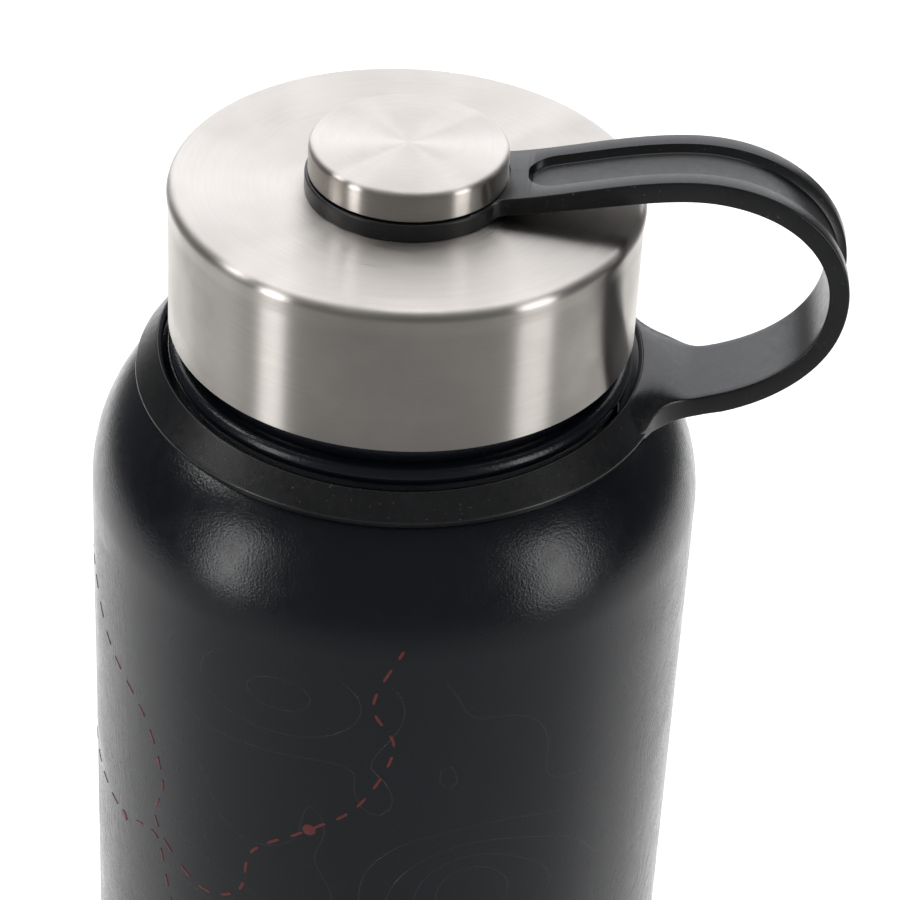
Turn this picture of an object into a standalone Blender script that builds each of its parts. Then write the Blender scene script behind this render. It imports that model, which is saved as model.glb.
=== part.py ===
"""Insulated water bottle: double steel wall, screw cap, swivel knob and rubber carry strap.

Metres, +Z up. The origin is the centre of the base, on the plane that the bottle stands on.
The strap reaches out along +X, turned by STRAP_TURN. Heights of the cap, the knob, the neck
and the strap are worked out from CAP_TOP, the plane of the cap's top rim.
"""

import math

import bmesh
import bpy
from mathutils.geometry import interpolate_bezier

MM = 0.001

# Driving dimensions
CAP_TOP = 238 * MM
BODY_R = 45.5 * MM
WALL = 0.45 * MM
GAP = 0.3 * MM
LINER_WALL = 0.4 * MM
VACUUM_GAP = 5.1 * MM
LARGE_STEPS = 36
SMALL_STEPS = 24

# Shoulder: one arc, tangent to the straight body
SHOULDER_ARC = 24.4 * MM
SHOULDER_Z = CAP_TOP - 51.05 * MM
SHOULDER_AXIS = BODY_R - SHOULDER_ARC

# Neck, from the mouth down to the groove that holds the strap's collar
RIM_Z = CAP_TOP - 5.5 * MM
RIM_LIP = 0.8 * MM
NECK_R = 29.9 * MM
BORE_R = 28.4 * MM
NECK_FOOT_R = 31.6 * MM
NECK_FOOT_Z = CAP_TOP - 23.2 * MM
NECK_TAPER = 1.6 * MM
BEAD_R = 1.6 * MM
BEAD_AXIS = 33.5 * MM
BEAD_Z = CAP_TOP - 26.65 * MM
BEAD_STARTS = 120
GROOVE_R = 33.4 * MM
GROOVE_TOP = CAP_TOP - 28.5 * MM

# Thread: one start, right-handed; the cap's ridge runs half a pitch above the neck's
PITCH = 5 * MM
RIDGE_FOOT = 1.3 * MM
RIDGE_CREST = 0.7 * MM
RIDGE_SUNK = 0.3 * MM
NECK_CREST_R = 31.0 * MM
CAP_ROOT_R = 31.4 * MM
CAP_CREST_R = 30.3 * MM
THREAD_TURNS = 2
THREAD_Z = CAP_TOP - 19.5 * MM
CAP_THREAD_START = -0.6

# Base: a pressed cup with a stand ring, a shallow recess and a dimple for the vacuum seal
SEAM_Z = 9 * MM
BASE_ROUND = 4 * MM
STAND_R = 37.5 * MM
RECESS_R = 36 * MM
RECESS_Z = 1.6 * MM
DIMPLE_R = 8.5 * MM
DIMPLE_Z = 4 * MM
SEAL_HOLE_R = 1.6 * MM
COVER_R = 30 * MM
COVER_Z = 0.6 * MM
COVER_THICK = 0.7 * MM
SEAL_R = 5 * MM
GETTER_R = 7.5 * MM
GETTER_AT = 22 * MM
GETTER_THICK = 2.5 * MM

# Liner bottom
LINER_FLOOR = 7.5 * MM
LINER_SEAM = 13.7 * MM

# Cap
CAP_R = 34.1 * MM
CAP_ROUND = 2.1 * MM
CAP_SKIRT = 22.8 * MM
CAP_WALL = 0.5 * MM
DISH_R = 15 * MM
DISH_DEPTH = 0.9 * MM
DISH_RIM_R = 30.5 * MM
KNOB_HOLE_R = 5.2 * MM
INSERT_R = 33.2 * MM
INSERT_TOP = CAP_TOP - 1.8 * MM
INSERT_PLATE = 1.6 * MM
INSERT_FOOT = CAP_TOP - 22.1 * MM
INSERT_CHAMFER = 1.5 * MM
GASKET_INNER = 28.0 * MM
GASKET_OUTER = 31.0 * MM
GASKET_ROUND = 0.4 * MM
PLUG_R = 27.6 * MM
PLUG_WALL = 0.8 * MM
PLUG_ROUND = 2 * MM
PLUG_FLOOR = CAP_TOP - 12 * MM
FOAM_R = 26.4 * MM
FOAM_HOLE_R = 6.5 * MM

# Knob and its fixing
BUTTON_R = 14.3 * MM
BUTTON_TOP = CAP_TOP + 6.7 * MM
BUTTON_FOOT = CAP_TOP + 2.15 * MM
BUTTON_ROUND = 1.8 * MM
BUTTON_WALL = 0.5 * MM
SHAFT_R = 8.9 * MM
SHAFT_FOOT = CAP_TOP - 0.6 * MM
SPIGOT_R = 4.8 * MM
SCREW_R = 2 * MM
SCREW_HOLE_R = 2.4 * MM
SCREW_HEAD_R = 4.2 * MM
SCREW_HEAD = 2.2 * MM
SCREW_TIP = CAP_TOP + 4 * MM
SOCKET_R = 1.9 * MM
SOCKET_DEPTH = 1.3 * MM
WASHER_R = 5.5 * MM
WASHER_THICK = 0.6 * MM

# Strap: an eyelet under the knob, a loop and a collar in the neck's groove
STRAP_TURN = math.radians(-2.66)
STRAP_HALF_WIDTH = 6.85 * MM
STRAP_HALF_THICK = 1.45 * MM
STRAP_HALF_THIN = 1.2 * MM
THICK_FROM = 33 * MM
CHANNEL_RIM = 2.9 * MM
CHANNEL_SIDE = 0.8 * MM
CHANNEL_DEPTH = 1.3 * MM
CHANNEL_START = 18 * MM
CHANNEL_RUN = 2 * MM
EYELET_R = 14.75 * MM
EYELET_HOLE_R = 9.3 * MM
EYELET_TOP = CAP_TOP + 1.85 * MM
EYELET_FLARE = 20 * MM
SLIP_R = 12.6 * MM
SLIP_TOP = CAP_TOP + 0.1 * MM
COLLAR_R = 38.8 * MM
COLLAR_INNER_R = 34.2 * MM
COLLAR_TOP_R = 35.0 * MM
COLLAR_TOP = CAP_TOP - 28.5 * MM
COLLAR_EDGE = CAP_TOP - 31.4 * MM
COLLAR_FLARE = 9.5 * MM
COLLAR_CHAMFER = 0.3 * MM
COLLAR_CLEAR = 0.35 * MM
ROOT_R = 36.5 * MM
SPLIT = (62.5 * MM, CAP_TOP - 11.3 * MM)
LOOP_TOP = (41.5 * MM, CAP_TOP + 5.9 * MM)
LOOP_FOOT = (44.5 * MM, CAP_TOP - 29.85 * MM)
EYELET_ROOT = (9.5 * MM, CAP_TOP + 0.65 * MM)
COLLAR_ROOT = (ROOT_R, CAP_TOP - 29.95 * MM)

# The strap's centre line: four cubic curves, each as its ends and the two handles between them
RUN_OUT = (EYELET_ROOT, (19.5 * MM, CAP_TOP + 1.4 * MM), (32 * MM, CAP_TOP + 5.9 * MM), LOOP_TOP)
UPPER_BEND = (LOOP_TOP, (53.1 * MM, CAP_TOP + 5.9 * MM), (62.5 * MM, CAP_TOP - 1.8 * MM), SPLIT)
LOWER_BEND = (SPLIT, (62.5 * MM, CAP_TOP - 22.5 * MM), (51.5 * MM, CAP_TOP - 28 * MM), LOOP_FOOT)
TAB = (LOOP_FOOT, (43 * MM, CAP_TOP - 30.2 * MM), (40 * MM, CAP_TOP - 30.1 * MM), COLLAR_ROOT)


def clear_scene():
    for obj in list(bpy.data.objects):
        bpy.data.objects.remove(obj, do_unlink=True)


def material(name, colour, roughness, metallic):
    found = bpy.data.materials.new(name)
    found.use_nodes = True
    shader = found.node_tree.nodes["Principled BSDF"]
    shader.inputs["Base Color"].default_value = (*colour, 1)
    shader.inputs["Roughness"].default_value = roughness
    shader.inputs["Metallic"].default_value = metallic
    return found


def placed(name, bm, finish):
    """The bmesh as a named object with outward faces and its material."""
    bmesh.ops.recalc_face_normals(bm, faces=bm.faces)
    mesh = bpy.data.meshes.new(name)
    bm.to_mesh(mesh)
    bm.free()
    mesh.shade_smooth()
    mesh.set_sharp_from_angle(angle=math.radians(30))
    obj = bpy.data.objects.new(name, mesh)
    bpy.context.scene.collection.objects.link(obj)
    if finish:
        mesh.materials.append(finish)
    return obj


def arc(axis, z, radius, start, end, steps):
    """Points (r, z) on an arc about (axis, z), from one angle in degrees to another."""
    angles = [math.radians(start + (end - start) * i / steps) for i in range(steps + 1)]
    return [(axis + radius * math.cos(a), z + radius * math.sin(a)) for a in angles]


def turned_mesh(profile, steps):
    """Turns a profile about Z. One that starts and ends on the axis gets flat end faces."""
    solid = profile[0][0] == 0
    outline = profile[1:-1] if solid else profile
    bm = bmesh.new()
    rings = []
    for step in range(steps):
        turn = 2 * math.pi * step / steps
        rings.append([bm.verts.new((r * math.cos(turn), r * math.sin(turn), z)) for r, z in outline])
    pairs = len(outline) - 1 if solid else len(outline)
    for step in range(steps):
        here, there = rings[step], rings[(step + 1) % steps]
        for i in range(pairs):
            j = (i + 1) % len(outline)
            bm.faces.new((here[i], there[i], there[j], here[j]))
    if solid:
        bm.faces.new([ring[0] for ring in rings])
        bm.faces.new([ring[-1] for ring in rings])
    return bm


def turned(name, profile, steps, finish=None):
    return placed(name, turned_mesh(profile, steps), finish)


def helper(obj):
    """A guide or a cutter, which isn't part of the bottle."""
    obj.hide_render = True
    obj.display_type = "WIRE"
    return obj


def combine(obj, other, operation):
    modifier = obj.modifiers.new(other.name, "BOOLEAN")
    modifier.operation = operation
    modifier.solver = "EXACT"
    modifier.object = helper(other)


def thread_ridge(name, foot_r, crest_r, first_turn, z):
    """A helical ridge that stands on a wall at foot_r and ends at crest_r."""
    sunk = math.copysign(RIDGE_SUNK, foot_r - crest_r)
    section = [
        (foot_r + sunk, -RIDGE_FOOT),
        (crest_r, -RIDGE_CREST),
        (crest_r, RIDGE_CREST),
        (foot_r + sunk, RIDGE_FOOT),
    ]
    bm = bmesh.new()
    rings = []
    for step in range(THREAD_TURNS * LARGE_STEPS + 1):
        turn = first_turn + (step + 0.5) / LARGE_STEPS
        angle = 2 * math.pi * turn
        rings.append(
            [
                bm.verts.new((r * math.cos(angle), r * math.sin(angle), z + PITCH * turn + dz))
                for r, dz in section
            ]
        )
    for here, there in zip(rings, rings[1:]):
        for i in range(len(section)):
            j = (i + 1) % len(section)
            bm.faces.new((here[i], there[i], there[j], here[j]))
    bm.faces.new(rings[0])
    bm.faces.new(rings[-1])
    return placed(name, bm, None)


def shoulder_angle(radius, r):
    """The angle, in degrees, where a shoulder arc of this radius reaches r."""
    return math.degrees(math.acos((r - SHOULDER_AXIS) / radius))


def make_outer_shell(finish):
    inner_groove = GROOVE_R - WALL
    inner_bead = BEAD_R - WALL
    inner_arc = SHOULDER_ARC - WALL
    outside = [
        (NECK_R, RIM_Z - RIM_LIP - GAP),
        (NECK_R, NECK_FOOT_Z + NECK_TAPER),
        (NECK_FOOT_R, NECK_FOOT_Z),
        (NECK_FOOT_R, BEAD_Z + BEAD_R + WALL),
    ]
    outside += arc(BEAD_AXIS, BEAD_Z, BEAD_R, BEAD_STARTS, -90, 7)
    outside += [(GROOVE_R, GROOVE_TOP)]
    outside += arc(SHOULDER_AXIS, SHOULDER_Z, SHOULDER_ARC, shoulder_angle(SHOULDER_ARC, GROOVE_R), 0, 8)
    outside += [(BODY_R, SEAM_Z + GAP)]
    inside = [(BODY_R - WALL, SEAM_Z + GAP)]
    inside += arc(SHOULDER_AXIS, SHOULDER_Z, inner_arc, 0, shoulder_angle(inner_arc, inner_groove), 6)
    inside += [(inner_groove, GROOVE_TOP)]
    inside += arc(BEAD_AXIS, BEAD_Z, inner_bead, -90, 90, 2)
    inside += [
        (NECK_FOOT_R - WALL, BEAD_Z + inner_bead),
        (NECK_FOOT_R - WALL, NECK_FOOT_Z - GAP),
        (NECK_R - WALL, NECK_FOOT_Z + NECK_TAPER - GAP),
        (NECK_R - WALL, RIM_Z - RIM_LIP - GAP),
    ]
    shell = turned("outer_shell", outside + inside, LARGE_STEPS, finish)
    combine(shell, thread_ridge("neck_thread", NECK_R, NECK_CREST_R, 0, THREAD_Z), "UNION")


def make_outer_base(finish):
    inner_round = BASE_ROUND - WALL
    centre = BODY_R - BASE_ROUND
    outside = [(BODY_R, SEAM_Z)]
    outside += arc(centre, BASE_ROUND, BASE_ROUND, 0, -90, 4)
    outside += [
        (STAND_R, 0),
        (RECESS_R, RECESS_Z),
        (DIMPLE_R, RECESS_Z),
        (DIMPLE_R - 1.5 * WALL, DIMPLE_Z),
        (SEAL_HOLE_R, DIMPLE_Z),
    ]
    inside = [
        (SEAL_HOLE_R, DIMPLE_Z + WALL),
        (DIMPLE_R - WALL, DIMPLE_Z + WALL),
        (DIMPLE_R + WALL, RECESS_Z + WALL),
        (RECESS_R + WALL / 2, RECESS_Z + WALL),
        (STAND_R + WALL / 2, WALL),
    ]
    inside += arc(centre, BASE_ROUND, inner_round, -90, 0, 3)
    inside += [(BODY_R - WALL, SEAM_Z)]
    turned("outer_base", outside + inside, LARGE_STEPS, finish)


def make_base_fittings(cover_finish, seal_finish, getter_finish):
    cover_top = COVER_Z + COVER_THICK
    cover = [
        (0, cover_top),
        (COVER_R, cover_top),
        (COVER_R, COVER_Z + GAP),
        (COVER_R - GAP, COVER_Z),
        (0, COVER_Z),
    ]
    turned("base_cover", cover, LARGE_STEPS, cover_finish)
    seat = DIMPLE_Z - GAP
    shank = SEAL_HOLE_R - 1.3 * GAP
    seal_top = DIMPLE_Z + 1.5 * WALL
    seal_foot = cover_top + 2 * GAP
    seal = [
        (0, seal_top),
        (shank, seal_top),
        (shank, seat),
        (SEAL_R, seat),
        (SEAL_R, seal_foot),
        (0, seal_foot),
    ]
    turned("vacuum_seal", seal, SMALL_STEPS, seal_finish)
    floor = RECESS_Z + WALL + GAP
    top = floor + GETTER_THICK
    pellet = [(0, top), (GETTER_R, top), (GETTER_R, floor), (0, floor)]
    getter = turned("getter", pellet, SMALL_STEPS, getter_finish)
    getter.location.x = GETTER_AT


def make_liner(finish):
    outer_r = BODY_R - WALL - VACUUM_GAP
    outer_arc = outer_r - SHOULDER_AXIS
    inner_arc = outer_arc - LINER_WALL
    neck_outer = BORE_R + LINER_WALL
    foot = LINER_SEAM + GAP
    outside = [
        (BORE_R + GAP, RIM_Z),
        (NECK_R - GAP, RIM_Z),
        (NECK_R, RIM_Z - GAP),
        (NECK_R, RIM_Z - RIM_LIP),
        (neck_outer, RIM_Z - RIM_LIP),
    ]
    outside += arc(SHOULDER_AXIS, SHOULDER_Z, outer_arc, shoulder_angle(outer_arc, neck_outer), 0, 6)
    outside += [(outer_r, foot)]
    inside = [(outer_r - LINER_WALL, foot)]
    inside += arc(SHOULDER_AXIS, SHOULDER_Z, inner_arc, 0, shoulder_angle(inner_arc, BORE_R), 6)
    inside += [(BORE_R, RIM_Z - GAP)]
    turned("inner_liner", outside + inside, LARGE_STEPS, finish)
    fillet = LINER_SEAM - LINER_FLOOR
    centre = outer_r - fillet
    bottom = [(0, LINER_FLOOR + LINER_WALL)]
    bottom += arc(centre, LINER_SEAM, fillet - LINER_WALL, -90, 0, 4)
    bottom += arc(centre, LINER_SEAM, fillet, 0, -90, 4)
    bottom += [(0, LINER_FLOOR)]
    turned("liner_bottom", bottom, LARGE_STEPS, finish)


def make_cap_shell(finish):
    skirt = CAP_TOP - CAP_SKIRT
    centre = CAP_R - CAP_ROUND
    dish = CAP_TOP - DISH_DEPTH
    outside = [(KNOB_HOLE_R, dish), (DISH_R, dish), (DISH_RIM_R, CAP_TOP - GAP / 4)]
    outside += arc(centre, CAP_TOP - CAP_ROUND, CAP_ROUND, 90, 0, 4)
    outside += [(CAP_R, skirt + GAP), (CAP_R - GAP, skirt), (CAP_R - CAP_WALL, skirt)]
    inside = arc(centre, CAP_TOP - CAP_ROUND, CAP_ROUND - CAP_WALL, 0, 90, 3)
    inside += [
        (DISH_RIM_R, CAP_TOP - CAP_WALL - GAP / 4),
        (DISH_R, dish - CAP_WALL),
        (KNOB_HOLE_R, dish - CAP_WALL),
    ]
    turned("cap_shell", outside + inside, LARGE_STEPS, finish)


def make_cap_insert(finish):
    under = INSERT_TOP - INSERT_PLATE
    profile = [
        (SCREW_HOLE_R, INSERT_TOP),
        (INSERT_R - INSERT_CHAMFER, INSERT_TOP),
        (INSERT_R, INSERT_TOP - INSERT_CHAMFER),
        (INSERT_R, INSERT_FOOT),
        (CAP_ROOT_R, INSERT_FOOT),
        (CAP_ROOT_R, under),
        (SCREW_HOLE_R, under),
    ]
    insert = turned("cap_insert", profile, LARGE_STEPS, finish)
    ridge_z = THREAD_Z + PITCH / 2
    ridge = thread_ridge("cap_thread", CAP_ROOT_R, CAP_CREST_R, CAP_THREAD_START, ridge_z)
    combine(insert, ridge, "UNION")


def make_plug(gasket_finish, cover_finish, foam_finish):
    seat = INSERT_TOP - INSERT_PLATE - GAP
    gasket_foot = RIM_Z + GAP
    gasket = [
        (GASKET_INNER + GASKET_ROUND, seat),
        (GASKET_OUTER - GASKET_ROUND, seat),
        (GASKET_OUTER, seat - GASKET_ROUND),
        (GASKET_OUTER, gasket_foot + GASKET_ROUND),
        (GASKET_OUTER - GASKET_ROUND, gasket_foot),
        (GASKET_INNER + GASKET_ROUND, gasket_foot),
        (GASKET_INNER, gasket_foot + GASKET_ROUND),
        (GASKET_INNER, seat - GASKET_ROUND),
    ]
    turned("cap_gasket", gasket, LARGE_STEPS, gasket_finish)
    centre = PLUG_R - PLUG_ROUND
    bend = PLUG_FLOOR + PLUG_ROUND
    cover = [(0, PLUG_FLOOR + PLUG_WALL)]
    cover += arc(centre, bend, PLUG_ROUND - PLUG_WALL, -90, 0, 2)
    cover += [(PLUG_R - PLUG_WALL, seat), (PLUG_R, seat)]
    cover += arc(centre, bend, PLUG_ROUND, 0, -90, 3)
    cover += [(0, PLUG_FLOOR)]
    turned("plug_cover", cover, LARGE_STEPS, cover_finish)
    foam_floor = PLUG_FLOOR + PLUG_WALL + GAP
    foam = [
        (FOAM_HOLE_R, seat),
        (FOAM_R, seat),
        (FOAM_R, foam_floor + PLUG_ROUND),
        (FOAM_R - PLUG_ROUND, foam_floor),
        (FOAM_HOLE_R, foam_floor),
    ]
    turned("cap_foam", foam, LARGE_STEPS, foam_finish)


def make_knob(steel, plastic):
    centre = BUTTON_R - BUTTON_ROUND
    bend = BUTTON_TOP - BUTTON_ROUND
    button = [(0, BUTTON_TOP)]
    button += arc(centre, bend, BUTTON_ROUND, 90, 0, 4)
    button += [
        (BUTTON_R, BUTTON_FOOT + GAP),
        (BUTTON_R - GAP, BUTTON_FOOT),
        (BUTTON_R - BUTTON_WALL, BUTTON_FOOT),
    ]
    button += arc(centre, bend, BUTTON_ROUND - BUTTON_WALL, 0, 90, 3)
    button += [(0, BUTTON_TOP - BUTTON_WALL)]
    turned("knob_button", button, LARGE_STEPS, steel)
    core_top = BUTTON_TOP - BUTTON_WALL - GAP
    core_r = BUTTON_R - BUTTON_WALL - GAP
    chamfer = 3 * GAP
    spigot_foot = INSERT_TOP + GAP
    hole_top = SCREW_TIP + GAP
    core = [
        (0, core_top),
        (core_r - chamfer, core_top),
        (core_r, core_top - chamfer),
        (core_r, BUTTON_FOOT),
        (SHAFT_R, BUTTON_FOOT),
        (SHAFT_R, SHAFT_FOOT),
        (SPIGOT_R, SHAFT_FOOT),
        (SPIGOT_R, spigot_foot),
        (SCREW_HOLE_R, spigot_foot),
        (SCREW_HOLE_R, hole_top),
        (0, hole_top),
    ]
    turned("knob_core", core, SMALL_STEPS, plastic)


def make_knob_fixing(steel):
    washer_top = INSERT_TOP - INSERT_PLATE - GAP
    washer_foot = washer_top - WASHER_THICK
    washer = [
        (SCREW_HOLE_R, washer_top),
        (WASHER_R, washer_top),
        (WASHER_R, washer_foot),
        (SCREW_HOLE_R, washer_foot),
    ]
    turned("knob_washer", washer, SMALL_STEPS, steel)
    head_top = washer_foot - GAP
    head_foot = head_top - SCREW_HEAD
    screw = [
        (0, SCREW_TIP),
        (SCREW_R - GAP, SCREW_TIP),
        (SCREW_R, SCREW_TIP - GAP),
        (SCREW_R, head_top),
        (SCREW_HEAD_R, head_top),
        (SCREW_HEAD_R, head_foot + GAP),
        (SCREW_HEAD_R - GAP, head_foot),
        (0, head_foot),
    ]
    bolt = turned("knob_screw", screw, SMALL_STEPS, steel)
    socket_top = head_foot + SOCKET_DEPTH
    socket_foot = head_foot - SOCKET_DEPTH
    socket = [(0, socket_top), (SOCKET_R, socket_top), (SOCKET_R, socket_foot), (0, socket_foot)]
    combine(bolt, turned("hex_socket", socket, 6), "DIFFERENCE")


def make_eyelet_washer(finish):
    profile = [
        (EYELET_HOLE_R, SLIP_TOP),
        (SLIP_R, SLIP_TOP),
        (SLIP_R, SHAFT_FOOT),
        (EYELET_HOLE_R, SHAFT_FOOT),
    ]
    turned("eyelet_washer", profile, LARGE_STEPS, finish)


def bezier(curve, steps):
    """Points (distance from the axis, height) along one cubic curve."""
    corners = [(x, 0, z) for x, z in curve]
    return [(p.x, p.z) for p in interpolate_bezier(*corners, steps + 1)]


def flare(distance, ring_r, fillet):
    """Half width of the strap where a fillet joins its straight side to a ring."""
    straight = math.sqrt((ring_r + fillet) ** 2 - (STRAP_HALF_WIDTH + fillet) ** 2)
    reach = max(straight - distance, 0)
    return STRAP_HALF_WIDTH + fillet - math.sqrt(fillet**2 - reach**2)


def ramp(x, start, run):
    return min(max((x - start) / run, 0), 1)


def band(name, line, ring_r, fillet, channel_start, thin):
    """The strap's band along a centre line, with a channel sunk in its outer face."""
    rim = STRAP_HALF_WIDTH - CHANNEL_RIM
    bm = bmesh.new()
    rings = []
    for i, (x, z) in enumerate(line):
        before, after = line[max(i - 1, 0)], line[min(i + 1, len(line) - 1)]
        run = math.dist(before, after)
        out = ((before[1] - after[1]) / run, (after[0] - before[0]) / run)
        half = flare(x, ring_r, fillet)
        thick = STRAP_HALF_THICK - thin * (1 - ramp(x, ring_r, THICK_FROM - ring_r))
        floor = thick - CHANNEL_DEPTH * ramp(x, channel_start, CHANNEL_RUN)
        section = [
            (-half, -thick),
            (half, -thick),
            (half, thick),
            (rim, thick),
            (rim - CHANNEL_SIDE, floor),
            (CHANNEL_SIDE - rim, floor),
            (-rim, thick),
            (-half, thick),
        ]
        rings.append([bm.verts.new((x + out[0] * h, y, z + out[1] * h)) for y, h in section])
    for here, there in zip(rings, rings[1:]):
        for i in range(len(here)):
            j = (i + 1) % len(here)
            bm.faces.new((here[i], there[i], there[j], here[j]))
    bm.faces.new(rings[0])
    bm.faces.new(rings[-1])
    return placed(name, bm, None)


def make_strap_upper(finish):
    """The eyelet round the knob's shaft, and the band out to the middle of the loop."""
    eyelet = [
        (0, EYELET_TOP),
        (EYELET_R - GAP, EYELET_TOP),
        (EYELET_R, EYELET_TOP - GAP),
        (EYELET_R, SHAFT_FOOT),
        (0, SHAFT_FOOT),
    ]
    strap = turned("strap_upper", eyelet, LARGE_STEPS, finish)
    line = bezier(RUN_OUT, 9) + bezier(UPPER_BEND, 8)[1:-1] + [(SPLIT[0], SPLIT[1] + GAP)]
    thin = STRAP_HALF_THICK - STRAP_HALF_THIN
    combine(strap, band("upper_band", line, EYELET_R, EYELET_FLARE, CHANNEL_START, thin), "UNION")
    seat = SLIP_TOP + GAP
    through = CAP_TOP + 3 * CHANNEL_RIM
    below = CAP_TOP - CHANNEL_RIM
    under_button = EYELET_TOP + GAP / 2
    bore = [
        (0, through),
        (BUTTON_R + GAP, through),
        (BUTTON_R + GAP, under_button),
        (EYELET_HOLE_R, under_button),
        (EYELET_HOLE_R, seat),
        (SLIP_R + GAP, seat),
        (SLIP_R + GAP, below),
        (0, below),
    ]
    combine(strap, turned("eyelet_bore", bore, LARGE_STEPS), "DIFFERENCE")


def shoulder_top(r):
    """Height of the shoulder's outer surface at r."""
    return SHOULDER_Z + math.sqrt(SHOULDER_ARC**2 - (r - SHOULDER_AXIS) ** 2)


def make_strap_lower(finish):
    """The collar that lies on the shoulder, and the band up to the middle of the loop."""
    under = [(r, shoulder_top(r) + COLLAR_CLEAR) for r in (COLLAR_R, ROOT_R, COLLAR_INNER_R)]
    collar = [
        (COLLAR_INNER_R, COLLAR_TOP - COLLAR_CHAMFER),
        (COLLAR_TOP_R, COLLAR_TOP),
        (COLLAR_R - COLLAR_CHAMFER, COLLAR_EDGE + COLLAR_CHAMFER),
        (COLLAR_R, COLLAR_EDGE - COLLAR_CHAMFER),
    ]
    strap = turned("strap_lower", collar + under, LARGE_STEPS, finish)
    line = [(SPLIT[0], SPLIT[1] - GAP)] + bezier(LOWER_BEND, 9)[1:] + bezier(TAB, 5)[1:]
    combine(strap, band("lower_band", line, COLLAR_R, COLLAR_FLARE, LOOP_FOOT[0], 0), "UNION")


def main():
    clear_scene()
    coated = material("powder_coat", (0.012, 0.013, 0.017), 0.55, 0)
    brushed = material("brushed_steel", (0.62, 0.59, 0.55), 0.3, 1)
    bare = material("bare_steel", (0.6, 0.6, 0.6), 0.35, 1)
    rubber = material("black_rubber", (0.022, 0.022, 0.024), 0.6, 0)
    plastic = material("black_plastic", (0.03, 0.03, 0.03), 0.45, 0)
    silicone = material("clear_silicone", (0.72, 0.73, 0.72), 0.5, 0)
    foam = material("white_foam", (0.85, 0.84, 0.8), 0.9, 0)
    resin = material("seal_resin", (0.2, 0.19, 0.17), 0.3, 0)
    pellet = material("getter_alloy", (0.35, 0.34, 0.33), 0.6, 1)

    make_outer_shell(coated)
    make_outer_base(coated)
    make_base_fittings(coated, resin, pellet)
    make_liner(bare)
    make_cap_shell(brushed)
    make_cap_insert(plastic)
    make_plug(silicone, plastic, foam)
    make_knob(brushed, plastic)
    make_knob_fixing(bare)
    make_eyelet_washer(plastic)
    make_strap_upper(rubber)
    make_strap_lower(rubber)
    for name in ("strap_upper", "upper_band", "eyelet_bore", "strap_lower", "lower_band"):
        bpy.data.objects[name].rotation_euler.z = STRAP_TURN


main()
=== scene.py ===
import math
import random

import bmesh
import bpy
from mathutils import Matrix, Vector
from mathutils.geometry import interpolate_bezier


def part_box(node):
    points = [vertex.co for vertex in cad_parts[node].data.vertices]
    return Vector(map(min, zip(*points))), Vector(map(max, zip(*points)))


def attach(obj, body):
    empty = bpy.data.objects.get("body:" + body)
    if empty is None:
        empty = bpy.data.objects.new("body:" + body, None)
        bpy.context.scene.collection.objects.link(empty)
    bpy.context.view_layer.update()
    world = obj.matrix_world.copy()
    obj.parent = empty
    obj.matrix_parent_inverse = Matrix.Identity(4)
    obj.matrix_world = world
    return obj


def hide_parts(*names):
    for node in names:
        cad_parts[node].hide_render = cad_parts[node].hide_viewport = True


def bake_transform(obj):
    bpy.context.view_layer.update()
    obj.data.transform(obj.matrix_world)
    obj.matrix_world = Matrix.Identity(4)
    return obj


# Looks of the insulated water bottle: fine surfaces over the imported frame, finishes, light, camera.
# Metres, +Z up. Angles round the bottle are degrees from the side that faces the camera, which is
# -Y, and grow towards +X. Outlines are lists of corners (distance from the axis, height, rounding).

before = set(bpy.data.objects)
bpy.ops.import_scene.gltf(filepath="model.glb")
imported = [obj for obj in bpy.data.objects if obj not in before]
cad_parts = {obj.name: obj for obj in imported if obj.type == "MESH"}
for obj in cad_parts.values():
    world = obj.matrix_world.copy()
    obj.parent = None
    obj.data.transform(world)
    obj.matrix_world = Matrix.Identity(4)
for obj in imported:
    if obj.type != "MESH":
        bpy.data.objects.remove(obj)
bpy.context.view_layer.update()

MM = 0.001
CAP_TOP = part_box("cap_shell")[1].z
CAP_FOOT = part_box("cap_shell")[0].z
CAP_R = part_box("cap_shell")[1].x
BODY_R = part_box("outer_shell")[1].x
SEAM_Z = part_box("outer_shell")[0].z
RIM_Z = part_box("inner_liner")[1].z
BUTTON_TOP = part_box("knob_button")[1].z
BUTTON_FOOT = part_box("knob_button")[0].z
BUTTON_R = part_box("knob_button")[1].x

ROUND_STEPS = 256
ARC_STEP = math.radians(7)
SUPPORT = 0.35 * MM
SHARP_ANGLE = math.radians(32)
NEARLY_STRAIGHT = math.radians(89.5)

SHELL_WALL = 0.45 * MM
SHOULDER_ARC = 24.4 * MM
SHOULDER_Z = CAP_TOP - 51.05 * MM
SHOULDER_AXIS = BODY_R - SHOULDER_ARC
GROOVE_R = 33.4 * MM
GROOVE_TOP = CAP_TOP - 28.5 * MM
RIDGE_AXIS = 32.6 * MM
RIDGE_Z = CAP_TOP - 27.65 * MM
RIDGE_ROUND = 1.5 * MM
NECK_R = 29.9 * MM
BORE_R = 28.4 * MM
THREAD_TURNS = 2
THREAD_PITCH = 5 * MM


# ---------------------------------------------------------------- mesh helpers


def corner_arc(before, corner, after, radius):
    """Points of a fillet at a corner of an outline."""
    into = (before - corner).normalized()
    away = (after - corner).normalized()
    half = into.angle(away) / 2
    if radius == 0 or half > NEARLY_STRAIGHT:
        return [corner]
    reach = radius / math.tan(half)
    centre = corner + (into + away).normalized() * radius / math.sin(half)
    start = corner + into * reach - centre
    end = corner + away * reach - centre
    sweep = math.atan2(start.x * end.y - start.y * end.x, start.dot(end))
    steps = max(2, math.ceil(abs(sweep) / ARC_STEP))
    return [centre + Matrix.Rotation(sweep * i / steps, 2) @ start for i in range(steps + 1)]


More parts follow.
